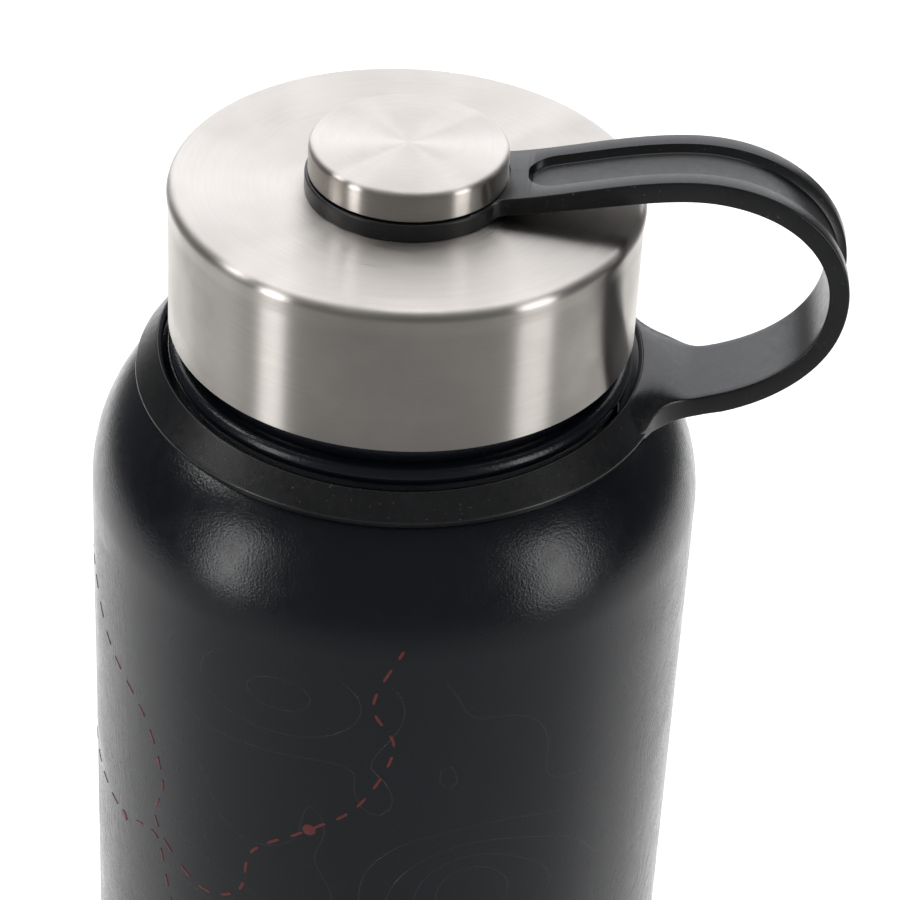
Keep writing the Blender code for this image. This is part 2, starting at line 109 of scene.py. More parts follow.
def supported(points):
    """Adds a point just inside each end of a long straight run, so that shading stays flat on it."""
    found = []
    for i, here in enumerate(points):
        there = points[(i + 1) % len(points)]
        found.append(here)
        length = (there - here).length
        if length > 4 * SUPPORT:
            found.append(here.lerp(there, SUPPORT / length))
            found.append(there.lerp(here, SUPPORT / length))
    return found


def rounded(corners):
    """An outline's points, from corners (r, z) or (r, z, rounding)."""
    points = [Vector(corner[:2]) for corner in corners]
    found = []
    for i, corner in enumerate(corners):
        radius = corner[2] if len(corner) > 2 else 0
        found += corner_arc(points[i - 1], points[i], points[(i + 1) % len(points)], radius)
    return supported(found)


def arc(axis, z, radius, start, end, steps):
    """Corners on an arc about (axis, z), from one angle in degrees to another."""
    angles = [math.radians(start + (end - start) * i / steps) for i in range(steps + 1)]
    return [(axis + radius * math.cos(a), z + radius * math.sin(a)) for a in angles]


def finished(name, bm, finish):
    """The bmesh as a smooth-shaded object with outward faces and its material."""
    bmesh.ops.recalc_face_normals(bm, faces=bm.faces)
    mesh = bpy.data.meshes.new(name)
    bm.to_mesh(mesh)
    bm.free()
    mesh.shade_smooth()
    mesh.set_sharp_from_angle(angle=SHARP_ANGLE)
    mesh.materials.append(finish)
    obj = bpy.data.objects.new(name, mesh)
    bpy.context.scene.collection.objects.link(obj)
    return obj


def around(angle, r, z):
    """A point at an angle in degrees round the bottle."""
    turn = math.radians(angle)
    return Vector((r * math.sin(turn), -r * math.cos(turn), z))


def add_turned(bm, corners, steps=ROUND_STEPS):
    """Turns a closed outline about Z. Corners with r = 0 come first and last, and share their point."""
    outline = rounded(corners)
    on_axis = corners[0][0] == 0
    rings = []
    for step in range(steps):
        turn = 2 * math.pi * step / steps
        x, y = math.cos(turn), math.sin(turn)
        rings.append([bm.verts.new((p.x * x, p.x * y, p.y)) for p in outline])
    count = len(outline)
    for step in range(steps):
        here, there = rings[step], rings[(step + 1) % steps]
        for i in range(count):
            j = (i + 1) % count
            if not (on_axis and outline[i].x == 0 and outline[j].x == 0):
                bm.faces.new((here[i], there[i], there[j], here[j]))
    if on_axis:
        poles = [v for ring in rings for v in ring if v.co.x == 0 and v.co.y == 0]
        bmesh.ops.remove_doubles(bm, verts=poles, dist=MM / 1000)


def turned(name, corners, finish, steps=ROUND_STEPS):
    """A piece turned about Z from a closed outline."""
    bm = bmesh.new()
    add_turned(bm, corners, steps)
    return finished(name, bm, finish)


def add_sweep(bm, sections, closed=False):
    """A closed solid through a row of equal sections; a closed one ends where it started."""
    rings = [[bm.verts.new(point) for point in section] for section in sections]
    if closed:
        bmesh.ops.delete(bm, geom=rings[-1], context="VERTS")
        rings[-1] = rings[0]
    for here, there in zip(rings, rings[1:]):
        for i in range(len(here)):
            j = (i + 1) % len(here)
            bm.faces.new((here[i], there[i], there[j], here[j]))
    if not closed:
        bm.faces.new(rings[0])
        bm.faces.new(rings[-1])


def bake(obj):
    """Replaces the object's mesh by what its modifiers make of it."""
    graph = bpy.context.evaluated_depsgraph_get()
    mesh = bpy.data.meshes.new_from_object(obj.evaluated_get(graph))
    obj.modifiers.clear()
    obj.data = mesh


def cut(obj, tool):
    """Cuts the tool's shape out of the object, and deletes the tool."""
    modifier = obj.modifiers.new("cut", "BOOLEAN")
    modifier.operation = "DIFFERENCE"
    modifier.solver = "EXACT"
    modifier.object = tool
    bake(obj)
    bpy.data.objects.remove(tool, do_unlink=True)


# ---------------------------------------------------------------- materials


class Nodes:
    """Short ways to build one material's nodes."""

    def __init__(self, name, colour, roughness, metallic=0.0):
        self.material = bpy.data.materials.new(name)
        self.material.use_nodes = True
        self.tree = self.material.node_tree
        self.shader = self.tree.nodes["Principled BSDF"]
        self.set("Base Color", (*colour, 1))
        self.set("Roughness", roughness)
        self.set("Metallic", metallic)
        self.place = self.add("ShaderNodeTexCoord").outputs["Object"]

    def set(self, socket, value):
        self.shader.inputs[socket].default_value = value

    def add(self, kind, **settings):
        node = self.tree.nodes.new(kind)
        for key, value in settings.items():
            setattr(node, key, value)
        return node

    def link(self, source, target):
        self.tree.links.new(source, target)

    def noise(self, size, detail=2.0, roughness=0.5, place=None):
        """Noise whose grains are about this size in metres."""
        node = self.add("ShaderNodeTexNoise")
        node.inputs["Scale"].default_value = 1 / size
        node.inputs["Detail"].default_value = detail
        node.inputs["Roughness"].default_value = roughness
        self.link(place or self.place, node.inputs["Vector"])
        return node.outputs["Fac"]

    def cells(self, size):
        """Distance to the middle of round cells of about this size in metres."""
        node = self.add("ShaderNodeTexVoronoi")
        node.inputs["Scale"].default_value = 1 / size
        self.link(self.place, node.inputs["Vector"])
        return node.outputs["Distance"]

    def math(self, operation, a, b=0.0, c=0.0):
        """One sum on numbers or other nodes' outputs."""
        node = self.add("ShaderNodeMath", operation=operation)
        for socket, value in zip(node.inputs, (a, b, c)):
            if isinstance(value, (int, float)):
                socket.default_value = value
            else:
                self.link(value, socket)
        return node.outputs[0]

    def spread(self, value, low, high, start=0.3, end=0.7):
        """Maps value from start..end to low..high."""
        node = self.add("ShaderNodeMapRange")
        node.inputs["From Min"].default_value = start
        node.inputs["From Max"].default_value = end
        node.inputs["To Min"].default_value = low
        node.inputs["To Max"].default_value = high
        self.link(value, node.inputs["Value"])
        return node.outputs[0]

    def tint(self, value, dark, light, start=0.3, end=0.7):
        """A colour between dark and light, by value."""
        node = self.add("ShaderNodeValToRGB")
        node.color_ramp.elements[0].position = start
        node.color_ramp.elements[0].color = (*dark, 1)
        node.color_ramp.elements[1].position = end
        node.color_ramp.elements[1].color = (*light, 1)
        self.link(value, node.inputs["Fac"])
        return node.outputs["Color"]

    def bump(self, height, depth, below=None):
        """Adds a bump this deep in metres; below is another bump's output."""
        node = self.add("ShaderNodeBump")
        node.inputs["Distance"].default_value = depth
        self.link(height, node.inputs["Height"])
        if below:
            self.link(below, node.inputs["Normal"])
        return node.outputs["Normal"]

    def circular(self, across, along):
        """Coordinates for grooves that run round Z: fine across them, and long along them."""
        parts = self.add("ShaderNodeSeparateXYZ")
        self.link(self.place, parts.inputs[0])
        x, y, z = parts.outputs
        square = self.math("ADD", self.math("MULTIPLY", x, x), self.math("MULTIPLY", y, y))
        radius = self.math("SQRT", square)
        groove = self.math("MULTIPLY", self.math("ADD", radius, z), 1 / across)
        joined = self.add("ShaderNodeCombineXYZ")
        self.link(groove, joined.inputs[0])
        self.link(self.math("MULTIPLY", self.math("DIVIDE", x, radius), along), joined.inputs[1])
        self.link(self.math("MULTIPLY", self.math("DIVIDE", y, radius), along), joined.inputs[2])
        return joined.outputs[0]

    def finish(self, colour=None, roughness=None, normal=None):
        """The material, with what drives its colour, roughness and surface joined up."""
        for socket, source in (("Base Color", colour), ("Roughness", roughness), ("Normal", normal)):
            if source:
                self.link(source, self.shader.inputs[socket])
        return self.material


def powder_coat():
    """Black baked powder with its fine orange-peel grain."""
    n = Nodes("powder_coat_black", (0.0032, 0.0045, 0.0072), 0.3)
    n.set("IOR", 1.5)
    grain = n.noise(0.37 * MM)
    fine = n.noise(0.17 * MM, 1.0)
    peel = n.bump(grain, 0.041 * MM)
    peel = n.bump(fine, 0.01 * MM, below=peel)
    cloud = n.noise(22 * MM, 3.0)
    colour = n.tint(cloud, (0.002, 0.003, 0.0052), (0.0027, 0.0038, 0.0064))
    roughness = n.spread(n.noise(2.5 * MM, 4.0), 0.21, 0.28)
    return n.finish(colour, roughness, peel)


def printed(name, dark, light, roughness, gloss=0.5):
    """The raised print of the map, with slightly uneven ink."""
    n = Nodes(name, light, roughness)
    n.set("Specular IOR Level", gloss)
    ink = n.noise(0.6 * MM, 3.0)
    colour = n.tint(ink, dark, light)
    rough = n.spread(n.noise(1.5 * MM), roughness - 0.05, roughness + 0.08)
    return n.finish(colour, rough, n.bump(n.noise(0.2 * MM), 0.006 * MM))


def brushed_steel():
    """Stainless steel brushed in circles round the axis."""
    n = Nodes("brushed_steel", (0.61, 0.577, 0.54), 0.32, 1.0)
    n.set("Anisotropic", 1.0)
    n.set("Anisotropic Rotation", 0.25)
    tangent = n.add("ShaderNodeTangent", direction_type="RADIAL", axis="Z")
    n.link(tangent.outputs[0], n.shader.inputs["Tangent"])
    broad = n.noise(1, 3.0, 0.6, n.circular(0.55 * MM, 2.2))
    hair = n.noise(1, 2.0, 0.7, n.circular(0.09 * MM, 7.0))
    streak = n.math("MULTIPLY_ADD", hair, 0.45, n.math("MULTIPLY", broad, 0.55))
    colour = n.tint(streak, (0.57, 0.537, 0.5), (0.63, 0.597, 0.56), 0.35, 0.65)
    cloud = n.noise(9 * MM, 4.0, 0.6)
    rough = n.math("ADD", n.spread(cloud, -0.03, 0.035), n.spread(streak, 0.29, 0.34, 0.35, 0.65))
    grooves = n.bump(hair, 0.0006 * MM)
    grooves = n.bump(broad, 0.0012 * MM, below=grooves)
    return n.finish(colour, rough, grooves)


def bare_steel(name="bare_steel", roughness=0.3):
    """Turned or drawn steel, with soft lines round the axis."""
    n = Nodes(name, (0.6, 0.58, 0.56), roughness, 1.0)
    lines = n.noise(1, 3.0, 0.6, n.circular(0.3 * MM, 1.5))
    colour = n.tint(lines, (0.53, 0.51, 0.49), (0.66, 0.64, 0.62))
    rough = n.spread(lines, roughness - 0.06, roughness + 0.08)
    return n.finish(colour, rough, n.bump(lines, 0.004 * MM))


def black_rubber():
    """Moulded rubber: matt, with a fine eroded grain, a few specks of dust and pale scuffs."""
    n = Nodes("black_rubber", (0.006, 0.006, 0.007), 0.4)
    n.set("Specular IOR Level", 0.62)
    grain = n.noise(0.16 * MM, 2.0, 0.6)
    pits = n.cells(0.55 * MM)
    surface = n.bump(grain, 0.016 * MM)
    surface = n.bump(n.spread(pits, 0, 1, 0.0, 0.28), 0.012 * MM, below=surface)
    cloud = n.noise(6 * MM, 4.0, 0.6)
    base = n.tint(cloud, (0.003, 0.0034, 0.0042), (0.0052, 0.0057, 0.0068))
    dust = n.spread(n.noise(0.35 * MM, 1.0), 0, 1, 0.72, 0.78)
    mix = n.add("ShaderNodeMix", data_type="RGBA")
    n.link(dust, mix.inputs["Factor"])
    n.link(base, mix.inputs["A"])
    mix.inputs["B"].default_value = (0.06, 0.06, 0.06, 1)
    rough = n.spread(n.noise(1.2 * MM, 3.0), 0.27, 0.35)
    return n.finish(mix.outputs["Result"], rough, surface)


def plastic(name="black_plastic", colour=(0.02, 0.02, 0.021), roughness=0.42):
    """Moulded plastic with a light spark-eroded texture."""
    n = Nodes(name, colour, roughness)
    cloud = n.noise(5 * MM, 3.0)
    tone = n.tint(cloud, tuple(c * 0.85 for c in colour), tuple(min(1, c * 1.15) for c in colour))
    rough = n.spread(n.noise(0.8 * MM, 3.0), roughness - 0.06, roughness + 0.1)
    return n.finish(tone, rough, n.bump(n.noise(0.12 * MM, 2.0), 0.008 * MM))


def silicone():
    """Milky translucent rubber."""
    n = Nodes("clear_silicone", (0.72, 0.73, 0.72), 0.45)
    n.set("Subsurface Weight", 0.3)
    n.set("Subsurface Radius", (0.002, 0.002, 0.002))
    cloud = n.noise(3 * MM, 3.0)
    colour = n.tint(cloud, (0.66, 0.67, 0.66), (0.76, 0.77, 0.76))
    return n.finish(colour, n.spread(cloud, 0.4, 0.52), n.bump(n.noise(0.2 * MM), 0.006 * MM))


def foam():
    """Closed-cell foam, with its skin of small bubbles."""
    n = Nodes("white_foam", (0.85, 0.84, 0.8), 0.9)
    bubbles = n.cells(0.7 * MM)
    colour = n.tint(bubbles, (0.74, 0.73, 0.69), (0.87, 0.86, 0.82), 0.0, 0.6)
    return n.finish(colour, n.spread(bubbles, 0.82, 0.95, 0, 0.6), n.bump(bubbles, 0.12 * MM))


def stage_floor():
    """Plain pale floor."""
    n = Nodes("stage_floor", (0.93, 0.93, 0.93), 0.7)
    cloud = n.noise(60 * MM, 3.0)
    return n.finish(n.tint(cloud, (0.92, 0.92, 0.92), (0.94, 0.94, 0.94)))


# ---------------------------------------------------------------- bottle


def thread_ridge(bm, foot_r, crest_r, z, first=0.0):
    """A helical ridge that runs out into the wall at both ends."""
    steps = THREAD_TURNS * 96
    run_out = 12
    sunk = math.copysign(0.3 * MM, foot_r - crest_r)
    sections = []
    for step in range(steps + 1):
        turn = first + THREAD_TURNS * step / steps
        fade = min(step, steps - step, run_out) / run_out
        rise = (crest_r - foot_r) * (math.sin(fade * math.pi / 2) + 0.02)
        angle = 2 * math.pi * turn
        out = Vector((math.cos(angle), math.sin(angle), 0))
        flank = [
            (foot_r + sunk, 1.4 * MM),
            (foot_r + sunk / 3, 1.25 * MM),
            (foot_r + rise * 0.9, 0.75 * MM),
            (foot_r + rise, 0.45 * MM),
        ]
        profile = [(r, -dz) for r, dz in flank] + flank[::-1]
        height = z + THREAD_PITCH * turn
        sections.append([out * r + Vector((0, 0, height + dz)) for r, dz in profile])
    add_sweep(bm, sections)


def shoulder_angle(r, radius=SHOULDER_ARC):
    """Where an arc of this radius about the shoulder's centre is r from the bottle's axis, in degrees."""
    return math.degrees(math.acos((r - SHOULDER_AXIS) / radius))


def shoulder_arc(radius, start, end, steps):
    return arc(SHOULDER_AXIS, SHOULDER_Z, radius, start, end, steps)


def make_shell(coat):
    """Outer shell with its neck, thread, bead, groove and shoulder."""
    mouth = RIM_Z - 1.1 * MM
    foot = CAP_TOP - 23.2 * MM
    foot_r = 31.6 * MM
    taper = foot + 1.6 * MM
    outside = [
        (NECK_R, mouth),
        (NECK_R, taper, 2 * MM),
        (foot_r, foot, 1 * MM),
        (foot_r - 0.1 * MM, RIDGE_Z + RIDGE_ROUND - 0.3 * MM),
    ]
    outside += arc(RIDGE_AXIS, RIDGE_Z, RIDGE_ROUND, 105, -42, 16)
    outside += [(GROOVE_R, GROOVE_TOP - 0.35 * MM, 0.15 * MM)]
    outside += shoulder_arc(SHOULDER_ARC, shoulder_angle(GROOVE_R), 0, 48)
    outside += [(BODY_R, SEAM_Z, 0.12 * MM), (BODY_R - SHELL_WALL, SEAM_Z)]
    inner_arc = SHOULDER_ARC - SHELL_WALL
    inner_groove = GROOVE_R - SHELL_WALL
    inside = shoulder_arc(inner_arc, 0, shoulder_angle(inner_groove, inner_arc), 12)
    inside += [
        (inner_groove, GROOVE_TOP),
        (foot_r - 0.2 * MM, RIDGE_Z),
        (foot_r - 0.5 * MM, foot - SHELL_WALL / 2),
        (NECK_R - SHELL_WALL, taper),
        (NECK_R - SHELL_WALL, mouth),
    ]
    bm = bmesh.new()
    add_turned(bm, outside + inside)
    thread_crest = 31 * MM
    thread_ridge(bm, NECK_R, thread_crest, CAP_TOP - 19.5 * MM)
    shell = finished("bottle_shell", bm, coat)
    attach(shell, "bottle")
    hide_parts("outer_shell")


def make_liner(bare):
    """Inner vessel: up its inside from the floor, over the rim, and down its outside."""
    wall = 0.4 * MM
    lip = RIM_Z - 0.8 * MM
    bend = 6.2 * MM
    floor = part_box("liner_bottom")[0].z
    liner_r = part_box("liner_bottom")[1].x
    neck_r = BORE_R + wall
    outer_arc = liner_r - SHOULDER_AXIS
    inner_arc = outer_arc - wall
    profile = [(0, floor + wall), (liner_r - wall, floor + wall, bend - wall)]
    profile += shoulder_arc(inner_arc, 0, shoulder_angle(BORE_R, inner_arc), 20)
    profile += [
        (BORE_R, RIM_Z, 0.35 * MM),
        (NECK_R, RIM_Z, 0.4 * MM),
        (NECK_R, lip, 0.1 * MM),
        (neck_r, lip),
    ]
    profile += shoulder_arc(outer_arc, shoulder_angle(neck_r, outer_arc), 0, 20)
    profile += [(liner_r, floor, bend), (0, floor)]
    liner = turned("steel_liner", profile, bare)
    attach(liner, "bottle")
    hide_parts("inner_liner", "liner_bottom")


def make_base(coat):
    """Pressed base: a rounded foot, a recess, and the dimple with its evacuation hole."""
    wall = SHELL_WALL
    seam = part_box("outer_base")[1].z
    foot_round = 4 * MM
    stand_r = 37.5 * MM
    recess, recess_r = 1.6 * MM, 36 * MM
    dimple, dimple_r = 4 * MM, 8.5 * MM
    hole_r = 1.6 * MM
    profile = [
        (BODY_R - wall, seam),
        (BODY_R, seam, 0.12 * MM),
        (BODY_R, 0, foot_round),
        (stand_r, 0, 1.2 * MM),
        (recess_r, recess, 0.8 * MM),
        (dimple_r, recess, 0.5 * MM),
        (dimple_r - 1.5 * wall, dimple, 0.5 * MM),
        (hole_r, dimple),
        (hole_r, dimple + wall),
        (dimple_r - wall, dimple + wall),
        (dimple_r + wall, recess + wall),
        (recess_r + wall / 2, recess + wall),
        (stand_r + wall / 2, wall),
        (BODY_R - wall, wall, foot_round - wall),
    ]
    base = turned("bottle_base", profile, coat)
    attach(base, "bottle")
    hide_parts("outer_base")


def make_base_disc(coat):
    """Cover disc over the vacuum seal, with a raised rim."""
    low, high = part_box("base_cover")
    step = 0.12 * MM
    rim = 27 * MM
    disc = [
        (0, high.z),
        (high.x, high.z),
        (high.x, low.z, 0.2 * MM),
        (rim, low.z, 0.3 * MM),
        (rim - 0.6 * MM, low.z + step, 0.3 * MM),
        (0, low.z + step),
    ]
    cover = turned("base_disc", disc, coat)
    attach(cover, "bottle")
    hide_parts("base_cover")


# ---------------------------------------------------------------- cap and knob


def make_cap_skin(steel):
    """Steel shell of the cap: a shallow dish, a rounded rim that flares a little, and a straight wall."""
    wall = 0.5 * MM
    hole_r = 5.2 * MM
    dish = CAP_TOP - 0.9 * MM
    dish_r = 15 * MM
    rim = 30.5 * MM
    flare = 0.4 * MM
    skin = [
        (hole_r, dish),
        (dish_r, dish, 12 * MM),
        (rim, CAP_TOP, 8 * MM),
        (CAP_R + flare, CAP_TOP, 1.5 * MM),
        (CAP_R, CAP_TOP - 3.6 * MM, 8 * MM),
        (CAP_R, CAP_FOOT, 0.1 * MM),
        (CAP_R - wall, CAP_FOOT, 0.1 * MM),
        (CAP_R - wall, CAP_TOP - wall, 1.2 * MM),
        (rim, CAP_TOP - wall, 4 * MM),
        (dish_r, dish - wall, 4 * MM),
        (hole_r, dish - wall),
    ]
    shell = turned("cap_skin", skin, steel, 360)
    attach(shell, "cap")
    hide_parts("cap_shell")


def make_cap_lining(black):
    """Threaded plastic insert under the steel."""
    low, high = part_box("cap_insert")
    hole_r = 2.4 * MM
    root, crest = 31.4 * MM, 30.3 * MM
    under = high.z - 1.6 * MM
    lining = [
        (hole_r, high.z),
        (high.x, high.z, 1.5 * MM),
        (high.x, low.z, 0.3 * MM),
        (root, low.z, 0.3 * MM),
        (root, under, 0.6 * MM),
        (hole_r, under),
    ]
    bm = bmesh.new()
    add_turned(bm, lining)
    thread_ridge(bm, root, crest, CAP_TOP - 17 * MM, -0.6)
    insert = finished("cap_lining", bm, black)
    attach(insert, "cap")
    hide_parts("cap_insert")


def make_cap_seal(rubbery):
    """Ring gasket with a rounded section."""
    low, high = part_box("cap_gasket")
    inner = 28 * MM
    lip = 0.55 * MM
    middle = (low.z + high.z) / 2
    seal = [
        (inner, high.z, lip),
        (high.x, high.z, lip),
        (high.x, middle, 0.5 * MM),
        (high.x, low.z, lip),
        (inner, low.z, lip),
    ]
    gasket = turned("cap_seal", seal, rubbery)
    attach(gasket, "cap")
    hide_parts("cap_gasket")


def make_cap_plug(black):
    """Cup over the cap's foam, with a shallow panel in its underside."""
    low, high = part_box("plug_cover")
    wall = 0.8 * MM
    panel = low.z + 0.3 * MM
    panel_r = 19 * MM
    plug = [
        (0, low.z + wall),
        (high.x - wall, low.z + wall, 1.2 * MM),
        (high.x - wall, high.z, 0.2 * MM),
        (high.x, high.z, 0.2 * MM),
        (high.x, low.z, 2 * MM),
        (panel_r + 1 * MM, low.z, 1 * MM),
        (panel_r, panel, 1 * MM),
        (0, panel),
    ]
    cover = turned("cap_plug", plug, black)
    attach(cover, "cap")
    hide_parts("plug_cover")


def make_knob_cap(steel):
    """Steel button on top of the knob."""
    wall = 0.5 * MM
    button = [
        (0, BUTTON_TOP),
        (BUTTON_R, BUTTON_TOP, 0.95 * MM),
        (BUTTON_R, BUTTON_FOOT, 0.1 * MM),
        (BUTTON_R - wall, BUTTON_FOOT, 0.1 * MM),
        (BUTTON_R - wall, BUTTON_TOP - wall, 0.45 * MM),
        (0, BUTTON_TOP - wall),
    ]
    cap = turned("knob_cap", button, steel, 192)
    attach(cap, "cap")
    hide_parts("knob_button")


def make_knob_body(black):
    """Core of the knob: a head that fills the button, the eyelet's shaft, and a spigot for the screw."""
    low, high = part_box("knob_core")
    shaft_r = 8.9 * MM
    shaft_foot = CAP_TOP - 0.6 * MM
    spigot = 4.8 * MM
    hole = 2.4 * MM
    hole_top = CAP_TOP + 4.3 * MM
    core = [
        (0, high.z),
        (high.x, high.z, 0.9 * MM),
        (high.x, BUTTON_FOOT, 0.3 * MM),
        (shaft_r, BUTTON_FOOT, 0.2 * MM),
        (shaft_r, shaft_foot, 0.2 * MM),
        (spigot, shaft_foot),
        (spigot, low.z, 0.2 * MM),
        (hole, low.z, 0.2 * MM),
        (hole, hole_top),
        (0, hole_top),
    ]
    body = turned("knob_body", core, black, 128)
    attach(body, "cap")
    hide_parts("knob_core")


# ---------------------------------------------------------------- strap

# The strap is made in line with +X, and turned round the bottle's axis at the end.
STRAP_TURN = math.radians(-2.66)
HALF_WIDTH = 6.85 * MM
HALF_THICK = 1.45 * MM
# What half the thickness gains towards the eyelet and the tab.
EXTRA_THICK = 0.18 * MM
EYELET_R = 14.75 * MM
EYELET_TOP = CAP_TOP + 1.85 * MM
EYELET_FOOT = CAP_TOP - 0.82 * MM
EYELET_HOLE_R = 9.3 * MM
EYELET_FILLET = 2.5 * MM
COLLAR_R = 38.96 * MM
COLLAR_EDGE_Z = CAP_TOP - 31.5 * MM
COLLAR_FILLET = 9.5 * MM
LIP_R = 35.65 * MM
LIP_Z = CAP_TOP - 28.45 * MM
LIP_LIFT = 1.8 * MM
COLLAR_FOOT_Z = CAP_TOP - 32.75 * MM
TAB_FROM = 45.6 * MM
# How deep the tab's corners lie under the collar's face, so that the two never share a surface.
TAB_SINK = 0.34 * MM
CHANNEL_HALF = 4.1 * MM
CHANNEL_DEPTH = 1.3 * MM
CHANNEL_START = 17.2 * MM
CHANNEL_END = 50.5 * MM
LOOP_MIDDLE = CAP_TOP - 11.3 * MM
# Rounded edge of the band: (inset, drop) in mm.
EDGE = ((0, 0.3), (0.04, 0.15), (0.15, 0.04), (0.3, 0))


def ramp(value, start, run):
    """A smooth step from 0 to 1, which begins at start and takes run."""
    t = min(max((value - start) / run, 0), 1)
    return t * t * (3 - 2 * t)


def spacing(point):
    """How far apart the strap's sections are: close at the round ends of its channel."""
    start = CHANNEL_START if point.z > LOOP_MIDDLE else CHANNEL_END
    into = point.x - start
    if -0.1 * MM < into < 0.6 * MM:
        return 0.1 * MM
    return 0.35 * MM if 0 < into < CHANNEL_HALF else 0.9 * MM


def centre_line():
    """The strap's centre line from the eyelet to the tab, as points in the XZ plane."""
    def at(x, z):
        return Vector((x * MM, 0, CAP_TOP + z * MM))

    crest = at(41.5, 5.6)
    bend = at(62.5, -11.3)
    foot = at(45, -30.2)
    curves = [
        (at(9.5, 0.65), at(19.5, 1.0), at(32, 5.6), crest),
        (crest, at(53.1, 5.6), at(62.5, -1.8), bend),
        (bend, at(62.5, -22.5), at(52.5, -28.2), foot),
        (foot, at(42.5, -30.85), at(39.5, -30.6), at(36.5, -30.3)),
    ]
    dense = [point for curve in curves for point in interpolate_bezier(*curve, 600)]
    line = dense[:1]
    for point in dense:
        if (point - line[-1]).length >= spacing(point):
            line.append(point)
    return line


def eyelet_flare(distance):
    """Half width of the strap where a fillet joins its straight side to the eyelet."""
    fillet = EYELET_FILLET
    straight = math.sqrt((EYELET_R + fillet) ** 2 - (HALF_WIDTH + fillet) ** 2)
    if distance < straight * EYELET_R / (EYELET_R + fillet):
        return math.sqrt((EYELET_R - 0.05 * MM) ** 2 - distance**2)
    reach = max(straight - distance, 0)
    return HALF_WIDTH + fillet - math.sqrt(fillet**2 - reach**2)


def collar_flare(r):
    """Half angle of the tab at a distance from the bottle's axis; it widens into the collar."""
    far = COLLAR_R + COLLAR_FILLET
    turn = math.asin((HALF_WIDTH + COLLAR_FILLET) / far)
    if r >= math.hypot(far * math.cos(turn), HALF_WIDTH):
        return math.asin(HALF_WIDTH / r)
    if r >= COLLAR_R:
        return turn - math.acos((r * r + far * far - COLLAR_FILLET**2) / (2 * r * far))
    spread = math.radians(5.5)
    return turn + spread * ramp(COLLAR_R - r, 0, 1.2 * MM)


def strap_section(half, channel, depth):
    """Corners (across, side, drop) round the strap: outer face with its channel, then inner face."""
    rim = min(1, depth / (0.5 * MM)) * MM
    edge = [(inset * MM - half, drop * MM) for inset, drop in EDGE]
    wall = [
        (-channel - 0.15 * MM, 0),
        (-channel - 0.04 * MM, 0.04 * rim),
        (-channel, 0.15 * rim),
        (0.3 * MM - channel, depth - 0.15 * rim),
        (0.42 * MM - channel, depth - 0.04 * rim),
        (0.6 * MM - channel, depth),
    ]
    near = edge + wall
    outer = near + [(-across, drop) for across, drop in reversed(near)]
    flat = half - EDGE[-1][0] * MM
    middle = [(flat * (1 - i / 8), 0) for i in range(1, 16)]
    inner = [(-across, drop) for across, drop in edge] + middle + edge[::-1]
    return [(a, 1, d) for a, d in outer] + [(a, -1, d) for a, d in inner]


def loop_section(centre, run):
    """One section of the band between the eyelet and the tab."""
    upper = centre.z > LOOP_MIDDLE
    out = Vector((-run.z, 0, run.x))
    half = eyelet_flare(centre.x) if upper else HALF_WIDTH
    into = centre.x - (CHANNEL_START if upper else CHANNEL_END)
    bend = min(max(into, 0), CHANNEL_HALF)
    channel = max(0.9 * MM, math.sqrt(CHANNEL_HALF**2 - (CHANNEL_HALF - bend) ** 2))
    depth = CHANNEL_DEPTH * ramp(into, 0.1 * MM, 0.45 * MM)
    thick = HALF_THICK + EXTRA_THICK * (1 - ramp(centre.x, 46 * MM, 14 * MM))
    if upper:
        thinner = 0.25 * MM
        thick -= thinner * (1 - ramp(centre.x, EYELET_R, 18 * MM))
    section = []
    for across, side, drop in strap_section(half, channel, depth):
        section.append(centre + out * side * (thick - drop) + Vector((0, across, 0)))
    return section


def shoulder_top(r):
    """Height of the bottle's shoulder at a distance from its axis."""
    reach = min(r, BODY_R) - SHOULDER_AXIS
    return SHOULDER_Z + math.sqrt(SHOULDER_ARC**2 - reach**2)


def lifted(x, y):
    """How much higher the collar stands here than in front: its lip rides up at the sides."""
    inward = (COLLAR_R - math.hypot(x, y)) / (COLLAR_R - LIP_R)
    return LIP_LIFT * ramp(abs(math.atan2(x, -y)), 0, math.radians(105)) * min(max(inward, 0), 1)


def collar_z(x, y):
    """Height of the collar's sloping face."""
    inward = (COLLAR_R - math.hypot(x, y)) / (COLLAR_R - LIP_R)
    return COLLAR_EDGE_Z + (LIP_Z - COLLAR_EDGE_Z) * inward + lifted(x, y)


def height_at(curve, x):
    """Height of a row of (x, z) points, rising in x, at x."""
    for (x0, z0), (x1, z1) in zip(curve, curve[1:]):
        if x <= x1:
            return z0 + (z1 - z0) * max(x - x0, 0) / (x1 - x0)
    return curve[-1][1]


def tab_section(r, sunk, face):
    """One section of the tab, bent to the collar; its upper face runs over into the collar's."""
    half = collar_flare(r)
    band_thick = 2 * (HALF_THICK + EXTRA_THICK)
    clearance = 0.45 * MM
    section = []
    for across, side, drop in strap_section(half * r, 0.9 * MM, 0):
        turn = across / r
        sideways = math.degrees(abs(turn))
        x, y = r * math.cos(turn), r * math.sin(turn)
        flat = 1 - ramp(sideways, 9, 16)
        tab = height_at(face, x)
        lip = LIP_Z + lifted(LIP_R * math.cos(turn), LIP_R * math.sin(turn))
        top = tab + (lip - tab) * (1 - ramp(r, LIP_R, 8.5 * MM))
        cone = collar_z(x, y) - TAB_SINK * (0.15 + 0.85 * ramp(sideways, 17, 2.5))
        if side < 0:
            z = flat * top + (1 - flat) * cone - drop - sunk
        else:
            edge_thick = (1.7 - 0.95 * ramp(sideways, 13, 5.5)) * MM
            under = flat * (tab - band_thick) + (1 - flat) * (cone - edge_thick)
            z = max(under, shoulder_top(r) + clearance) + drop
        section.append(Vector((x, y, z)))
    return section


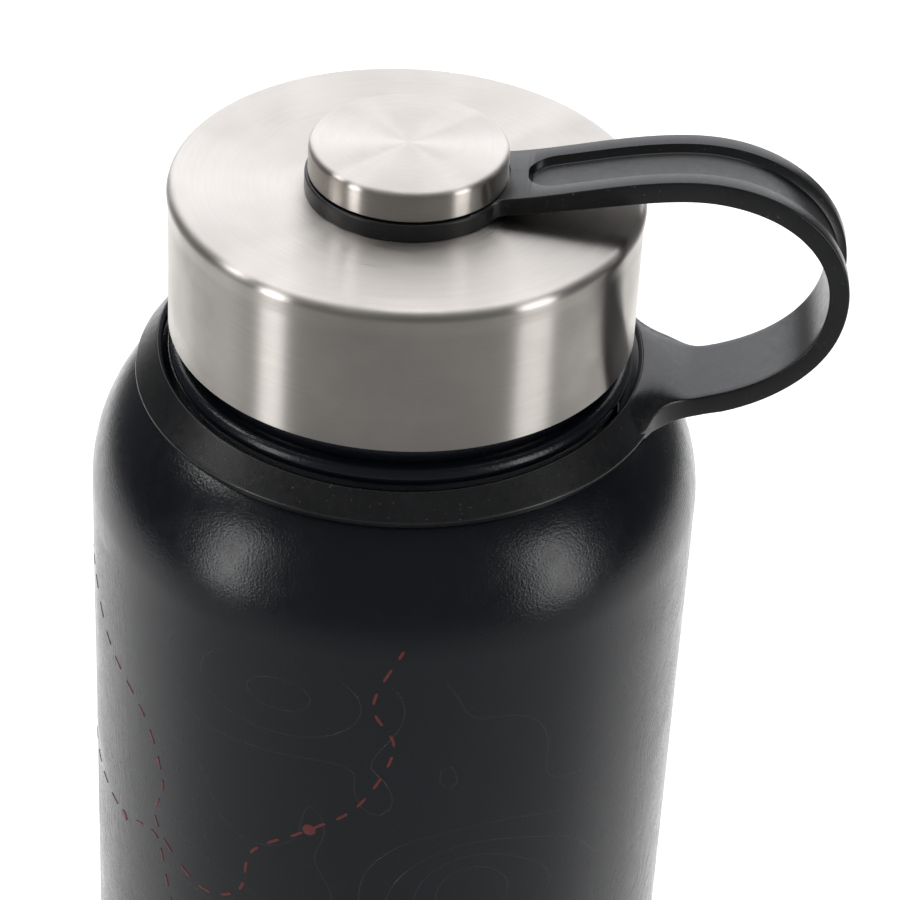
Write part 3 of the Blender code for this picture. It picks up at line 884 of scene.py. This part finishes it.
def add_strap(bm):
    """Band and tab in one sweep, from under the button to the collar's lip."""
    line = centre_line()
    thick = HALF_THICK + EXTRA_THICK
    sections = []
    face = []
    for before, centre, after in zip(line[:1] + line, line, line[1:] + line[-1:]):
        run = (after - before).normalized()
        if centre.z > LOOP_MIDDLE or centre.x > TAB_FROM + 0.8 * MM:
            sections.append(loop_section(centre, run))
        else:
            face.append((centre.x + run.z * thick, centre.z - run.x * thick))
    face.sort()
    stations = 26
    tab_end = LIP_R + 0.2 * MM
    for i in range(stations + 1):
        r = TAB_FROM + (tab_end - TAB_FROM) * i / stations
        sections.append(tab_section(r, 0, face))
    for outward, drop in ((0.12, 0.03), (0.05, 0.09), (0, 0.2), (0, 0.6)):
        sections.append(tab_section(LIP_R + outward * MM, drop * MM, face))
    add_sweep(bm, sections)


def button_room(rubber):
    """What the strap leaves free for the knob's button: its room, up to above the strap."""
    roof = CAP_TOP + 12 * MM
    floor = EYELET_TOP + 0.15 * MM
    clear_r = BUTTON_R + 0.3 * MM
    room = [(0, roof), (clear_r, roof), (clear_r, floor), (0, floor)]
    return turned("button_room", room, rubber, 180)


def add_eyelet(bm):
    """Ring round the knob's shaft, hollow underneath for its slip washer."""
    seat = CAP_TOP + 0.4 * MM
    seat_r = 12.9 * MM
    eyelet = [
        (EYELET_HOLE_R, EYELET_TOP),
        (EYELET_R, EYELET_TOP, 0.3 * MM),
        (EYELET_R, EYELET_FOOT, 0.2 * MM),
        (seat_r, EYELET_FOOT),
        (seat_r, seat),
        (EYELET_HOLE_R, seat),
    ]
    add_turned(bm, eyelet)


def add_collar(bm):
    """Ring round the neck, whose lip rides up at the sides."""
    foot_r = 36.6 * MM
    under_lip_r = 35.15 * MM
    collar = [
        (LIP_R, LIP_Z, 0.2 * MM),
        (COLLAR_R, COLLAR_EDGE_Z, 0.3 * MM),
        (COLLAR_R - 0.45 * MM, COLLAR_FOOT_Z, 0.3 * MM),
        (foot_r, shoulder_top(foot_r) + 0.55 * MM, 0.3 * MM),
        (under_lip_r, shoulder_top(under_lip_r) + 0.5 * MM, 0.2 * MM),
        (under_lip_r - 0.05 * MM, LIP_Z - 0.45 * MM, 0.2 * MM),
    ]
    before = len(bm.verts)
    add_turned(bm, collar, 360)
    for vert in list(bm.verts)[before:]:
        vert.co.z += lifted(vert.co.x, vert.co.y)


def make_strap(rubber):
    """Eyelet, band, tab and collar of the one moulding."""
    bm = bmesh.new()
    add_strap(bm)
    band = finished("band", bm, rubber)
    cut(band, button_room(rubber))
    bm = bmesh.new()
    add_eyelet(bm)
    add_collar(bm)
    bm.from_mesh(band.data)
    bpy.data.objects.remove(band, do_unlink=True)
    strap = finished("strap", bm, rubber)
    strap.data.transform(Matrix.Rotation(STRAP_TURN, 4, "Z"))
    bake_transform(strap)
    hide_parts("strap_upper", "strap_lower")


# ---------------------------------------------------------------- printed map

DASH = 2.5 * MM
DASH_STEP = 4.25 * MM
TRAIL_WIDTH = 0.52 * MM
TRAIL_RISE = 0.08 * MM
LINE_WIDTH = 0.24 * MM
LINE_RISE = 0.008 * MM
SUNK = 0.05 * MM
# Trails: smooth curves through their bends, as (angle, height above the base in mm).
MAIN_TRAIL = (
    (3, 189), (-2, 179), (2, 171), (-4, 160), (-13, 154), (-24, 147), (-27, 138), (-36, 135),
    (-48, 142), (-46, 151), (-52, 161), (-67, 167), (-80, 174), (-90, 172),
)
SIDE_TRAIL = (
    (-55, 138), (-48, 139), (-45, 132), (-42, 121), (-44, 112), (-40, 104), (-31, 97),
    (-27, 88), (-33, 78), (-42, 70), (-46, 60),
)
SPUR_TRAIL = ((-88, 139), (-73, 137), (-58, 136))
WAYPOINTS = ((-13, 154, 1.05), (-60, 136, 1.0), (-46, 60, 1.05))
# Hills: angle, height, reach round and reach up in mm, rise.
HILLS = (
    (-76, 168, 8, 19, 1.1),
    (-72, 141, 6, 6, 0.45),
    (-98, 128, 20, 24, 0.8),
    (-66, 118, 9, 7, 0.5),
    (-38, 118, 24, 15, 0.45),
    (-20, 178, 22, 12, 0.35),
    (22, 140, 24, 16, 0.4),
    (74, 152, 9, 12, 0.95),
    (64, 178, 9, 7, 0.6),
    (60, 126, 8, 11, 0.55),
    (84, 184, 10, 12, 0.5),
    (98, 120, 18, 30, 0.8),
)
RANDOM_HILLS = 14
FRONT_HILL_HEIGHTS = (40, 75, 20)
RANDOM_BUMPS = 60
LEVEL_STEP = 0.085
LEVELS = 19
SHORTEST_LINE = 8
MAP_FOOT = 12 * MM
MAP_TOP = CAP_TOP - 55 * MM
CELL = 1.45 * MM


def on_skin(angle, z):
    """A place on the body's side or shoulder, and the way out of it."""
    rise = max(z - SHOULDER_Z, 0) / SHOULDER_ARC
    level = math.sqrt(1 - rise * rise)
    r = SHOULDER_AXIS + SHOULDER_ARC * level
    return around(angle, r, z), around(angle, level, rise)


def add_ribbon(bm, spots, profile, closed=False):
    """A low ridge along a row of (place, normal); profile holds (across, height) points."""
    last = len(spots) - 1
    sections = []
    for i, (place, normal) in enumerate(spots):
        before = spots[i - 1 if closed or i > 0 else 0][0]
        after = spots[(i + 1) % (last + 1) if closed or i < last else last][0]
        across = normal.cross(after - before).normalized()
        scale = 1 if closed else (0.4, 0.85, 1)[min(i, last - i, 2)]
        sections.append([place + across * a * scale + normal * h for a, h in profile])
    if closed:
        sections.append(sections[0])
    add_sweep(bm, sections, closed)


def smooth_path(points, step):
    """(angle, height) pairs about step apart on a smooth curve through the given ones."""
    rows = [(math.radians(angle) * BODY_R, height * MM) for angle, height in points]
    rows = [rows[0], *rows, rows[-1]]
    path = []
    for a, b, c, d in zip(rows, rows[1:], rows[2:], rows[3:]):
        count = math.ceil(math.dist(b, c) / step)
        for i in range(count):
            t = i / count
            weights = (
                -t + 2 * t**2 - t**3,
                2 - 5 * t**2 + 3 * t**3,
                t + 4 * t**2 - 3 * t**3,
                t**3 - t**2,
            )
            u, v = (sum(w * p[k] for w, p in zip(weights, (a, b, c, d))) / 2 for k in (0, 1))
            path.append((math.degrees(u / BODY_R), v))
    return path


def add_dashes(bm, points):
    """A dashed line of raised ink along a trail."""
    step = 0.25 * MM
    half = TRAIL_WIDTH / 2
    slope = [(-half, -SUNK), (-half * 0.75, TRAIL_RISE * 0.7), (-half * 0.35, TRAIL_RISE)]
    profile = slope + [(-a, h) for a, h in reversed(slope)]
    dash = []
    length = 0
    for angle, z in smooth_path(points, step):
        if length % DASH_STEP < DASH:
            dash.append(on_skin(angle, z))
        elif len(dash) > 4:
            add_ribbon(bm, dash, profile)
            dash = []
        length += step
    if len(dash) > 4:
        add_ribbon(bm, dash, profile)


def add_dot(bm, angle, height, radius):
    """A waypoint: a low round blob of ink."""
    place, out = on_skin(angle, height * MM)
    side = Vector((0, 0, 1)).cross(out).normalized()
    up = out.cross(side)
    dome = ((1, -SUNK), (0.93, TRAIL_RISE * 0.6), (0.8, TRAIL_RISE), (0.3, TRAIL_RISE * 1.1))
    steps = 28
    sections = []
    for share, rise in dome:
        ring = []
        for i in range(steps):
            turn = 2 * math.pi * i / steps
            spoke = side * math.cos(turn) + up * math.sin(turn)
            ring.append(place + spoke * share * radius * MM + out * rise)
        sections.append(ring)
    add_sweep(bm, sections)


def terrain(angle, height, hills):
    """How high the map's land is at a place on the body."""
    total = 0
    for at, level, across, up, rise in hills:
        round_way = (angle - at + 180) % 360 - 180
        sideways = math.radians(round_way) * BODY_R / MM
        total += rise * math.exp(-((sideways / across) ** 2) - ((height - level) / up) ** 2)
    return total


def level_chains(grid, level):
    """Chains of grid edges (column, row, upright) where the terrain crosses a level."""
    columns, rows = len(grid), len(grid[0])
    links = {}
    for i in range(columns):
        right = (i + 1) % columns
        for j in range(rows - 1):
            corners = ((i, j), (right, j), (right, j + 1), (i, j + 1))
            above = [grid[a][b] > level for a, b in corners]
            edges = ((i, j, 0), (right, j, 1), (i, j + 1, 0), (i, j, 1))
            crossed = [e for e, a, b in zip(edges, above, above[1:] + above[:1]) if a != b]
            for a, b in zip(crossed[::2], crossed[1::2]):
                links.setdefault(a, []).append(b)
                links.setdefault(b, []).append(a)
    chains = []
    for first in [e for e in links if len(links[e]) == 1] + list(links):
        if first not in links:
            continue
        chain = [first]
        while True:
            linked = links.pop(chain[-1])
            onward = [e for e in linked if e in links]
            if not onward:
                break
            chain.append(onward[0])
        if len(chain) >= SHORTEST_LINE:
            chains.append((chain, first in linked))
    return chains


def all_hills():
    """The hills of the visible side, and scattered ones with small bumps for the rest."""
    rng = random.Random(11)
    hills = list(HILLS)
    for _ in range(RANDOM_HILLS):
        across, up = rng.uniform(14, 30), rng.uniform(14, 30)
        hills.append((rng.uniform(90, 270), rng.uniform(15, 180), across, up, rng.uniform(0.5, 1)))
    for height in FRONT_HILL_HEIGHTS:
        hills.append((rng.uniform(-60, 60), height, 24, 18, rng.uniform(0.6, 0.9)))
    for _ in range(RANDOM_BUMPS):
        reach = rng.uniform(6, 11)
        angle, height = rng.uniform(-180, 180), rng.uniform(15, 190)
        hills.append((angle, height, reach, reach, rng.uniform(-0.12, 0.16)))
    return hills


def add_contours(bm):
    """Contour lines of the land, traced on a grid round the body, as very low ridges."""
    hills = all_hills()
    columns = round(2 * math.pi * BODY_R / CELL)
    rows = round((MAP_TOP - MAP_FOOT) / CELL)
    heights = [MAP_FOOT + CELL * j for j in range(rows + 1)]
    angles = [360 * i / columns for i in range(columns)]
    grid = [[terrain(angle, z / MM, hills) for z in heights] for angle in angles]
    half = LINE_WIDTH / 2
    profile = [(-half, -SUNK), (-half * 0.5, LINE_RISE), (half * 0.5, LINE_RISE), (half, -SUNK)]
    for step in range(1, LEVELS + 1):
        level = LEVEL_STEP * step
        for chain, closed in level_chains(grid, level):
            spots = []
            for i, j, upright in chain:
                near = grid[i][j]
                far = grid[i][j + 1] if upright else grid[(i + 1) % columns][j]
                t = (level - near) / (far - near)
                column = i if upright else i + t
                row_part = CELL * t if upright else 0
                spots.append(on_skin(360 * column / columns, heights[j] + row_part))
            add_ribbon(bm, spots, profile, closed)


def make_map(ink, red):
    """The print: contour lines all round, and dashed trails with their waypoints."""
    bm = bmesh.new()
    add_contours(bm)
    lines = finished("map_lines", bm, ink)
    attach(lines, "bottle")
    bm = bmesh.new()
    for points in (MAIN_TRAIL, SIDE_TRAIL, SPUR_TRAIL):
        add_dashes(bm, points)
    for waypoint in WAYPOINTS:
        add_dot(bm, *waypoint)
    trail = finished("map_trail", bm, red)
    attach(trail, "bottle")


# ---------------------------------------------------------------- carried-over nodes


def finish_nodes(bare, black, resin, pellet, white):
    """Finishes of the CAD nodes that show as they are."""
    for node, finish in (
        ("vacuum_seal", resin),
        ("getter", pellet),
        ("cap_foam", white),
        ("knob_screw", bare),
        ("knob_washer", bare),
        ("eyelet_washer", black),
    ):
        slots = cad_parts[node].data.materials
        slots.clear()
        slots.append(finish)


# ---------------------------------------------------------------- light, floor, camera


def area_light(name, azimuth, elevation, distance, width, height, radiance, target_z):
    """A soft panel that faces the bottle; radiance is what the bottle sees of it."""
    data = bpy.data.lights.new(name, "AREA")
    data.shape = "RECTANGLE"
    data.size = width
    data.size_y = height
    data.energy = radiance * math.pi * width * height
    light = bpy.data.objects.new(name, data)
    target = Vector((0, 0, target_z))
    away = around(azimuth, math.cos(math.radians(elevation)), math.sin(math.radians(elevation)))
    light.location = target + away * distance
    light.rotation_euler = (-away).to_track_quat("-Z", "Y").to_euler()
    light.visible_camera = False
    bpy.context.scene.collection.objects.link(light)
    return light


def make_world():
    """Pale to the camera and for soft fill; what gloss sees is bright behind and dark in front."""
    world = bpy.data.worlds.new("studio")
    bpy.context.scene.world = world
    world.use_nodes = True
    world.cycles.sampling_method = "NONE"
    tree = world.node_tree
    nodes, links = tree.nodes, tree.links
    nodes.clear()

    def ramp_node(source, stops):
        """Grey values eased between their stops."""
        node = nodes.new("ShaderNodeValToRGB")
        node.color_ramp.interpolation = "EASE"
        elements = node.color_ramp.elements
        while len(elements) < len(stops):
            elements.new(0.5)
        for element, (position, value) in zip(elements, stops):
            element.position = position
            element.color = (value, value, value, 1)
        links.new(source, node.inputs["Fac"])
        return node.outputs["Color"]

    def half(source):
        """Brings -1 to 1 to 0 to 1."""
        node = nodes.new("ShaderNodeMath")
        node.operation = "MULTIPLY_ADD"
        node.inputs[1].default_value = 0.5
        node.inputs[2].default_value = 0.5
        links.new(source, node.inputs[0])
        return node.outputs[0]

    def mixed(factor, a, b):
        node = nodes.new("ShaderNodeMix")
        node.data_type = "RGBA"
        links.new(factor, node.inputs["Factor"])
        links.new(a, node.inputs["A"])
        links.new(b, node.inputs["B"])
        return node.outputs["Result"]

    def background(strength):
        node = nodes.new("ShaderNodeBackground")
        node.inputs["Color"].default_value = (1, 1, 1, 1)
        node.inputs["Strength"].default_value = strength
        return node

    def chosen(ray, otherwise, when):
        """One shader for a kind of ray, another for the rest."""
        node = nodes.new("ShaderNodeMixShader")
        links.new(path.outputs[ray], node.inputs[0])
        links.new(otherwise.outputs[0], node.inputs[1])
        links.new(when.outputs[0], node.inputs[2])
        return node

    place = nodes.new("ShaderNodeTexCoord")
    parts = nodes.new("ShaderNodeSeparateXYZ")
    links.new(place.outputs["Generated"], parts.inputs[0])
    back = half(parts.outputs["Y"])
    up = half(parts.outputs["Z"])
    floor_glow = ramp_node(back, [(0.0, 0.1), (0.35, 0.15), (0.62, 0.3), (0.95, 0.6)])
    sky_glow = ramp_node(back, [(0.0, 0.045), (0.35, 0.03), (0.55, 0.012), (0.75, 0.03), (0.98, 0.06)])
    above = ramp_node(up, [(0.31, 0.0), (0.38, 1.0)])
    seen = mixed(above, floor_glow, sky_glow)
    path = nodes.new("ShaderNodeLightPath")
    gloss = background(3.0)
    links.new(seen, gloss.inputs["Color"])
    by_gloss = chosen("Is Glossy Ray", background(0.85), gloss)
    by_camera = chosen("Is Camera Ray", by_gloss, background(1.0))
    output = nodes.new("ShaderNodeOutputWorld")
    links.new(by_camera.outputs[0], output.inputs["Surface"])


def make_stage():
    """The floor, which gloss does not see."""
    bm = bmesh.new()
    bmesh.ops.create_grid(bm, x_segments=1, y_segments=1, size=1.5)
    floor = finished("floor", bm, stage_floor())
    floor.visible_glossy = False


def make_lights():
    """Two tall softboxes and a small high one in front, and wide panels behind and above."""
    aim = CAP_TOP - 30 * MM
    area_light("softbox_left", -58, 7, 0.95, 0.2, 0.66, 5.0, aim)
    area_light("softbox_right", 61, 7, 0.95, 0.28, 0.66, 3.7, aim)
    area_light("softbox_high", -91, 38, 1.0, 0.2, 0.2, 7.5, aim)
    back = area_light("back_panel", 180, 33, 1.5, 2.2, 2.3, 1.45, CAP_TOP)
    back.data.color = (1, 1.01, 1.05)
    area_light("top_panel", 180, 80, 1.3, 1.6, 0.85, 1.3, CAP_TOP)


def make_camera():
    """Faces the middle of the cap's top, then turns a little aside, down and over."""
    elevation = math.radians(30.96)
    distance = 480.14 * MM
    turn_aside = math.radians(-0.925)
    turn_down = math.radians(-4.513)
    turn_over = math.radians(-2.596)
    forward = Vector((0, math.cos(elevation), -math.sin(elevation)))
    right = Vector((1, 0, 0))
    up = right.cross(forward)
    yaw = Matrix.Rotation(turn_aside, 3, up)
    forward, right = yaw @ forward, yaw @ right
    pitch = Matrix.Rotation(turn_down, 3, right)
    forward, up = pitch @ forward, pitch @ up
    roll = Matrix.Rotation(turn_over, 3, forward)
    right, up = roll @ right, roll @ up
    place = Vector((0, -distance * math.cos(elevation), CAP_TOP + distance * math.sin(elevation)))
    data = bpy.data.cameras.new("camera")
    data.sensor_width = 36
    data.lens = 134.4
    data.clip_start = 0.01
    data.clip_end = 20
    camera = bpy.data.objects.new("camera", data)
    basis = Matrix((right, up, -forward)).transposed()
    camera.matrix_world = Matrix.Translation(place) @ basis.to_4x4()
    bpy.context.scene.collection.objects.link(camera)
    bpy.context.scene.camera = camera


def main():
    bpy.context.scene.view_settings.view_transform = "Standard"
    make_camera()
    make_world()
    make_stage()
    make_lights()
    coat = powder_coat()
    steel = brushed_steel()
    bare = bare_steel()
    black = plastic()
    make_shell(coat)
    make_liner(bare)
    make_base(coat)
    make_base_disc(coat)
    make_cap_skin(steel)
    make_cap_lining(black)
    make_cap_seal(silicone())
    make_cap_plug(black)
    make_knob_cap(steel)
    make_knob_body(black)
    make_strap(black_rubber())
    ink = printed("map_ink", (0.002, 0.003, 0.0052), (0.003, 0.004, 0.0065), 0.24, 0.85)
    make_map(ink, printed("trail_red", (0.075, 0.007, 0.008), (0.1, 0.01, 0.011), 0.4))
    resin = plastic("seal_resin", (0.2, 0.19, 0.17), 0.3)
    pellet = bare_steel("getter_alloy", 0.55)
    finish_nodes(bare, black, resin, pellet, foam())


main()
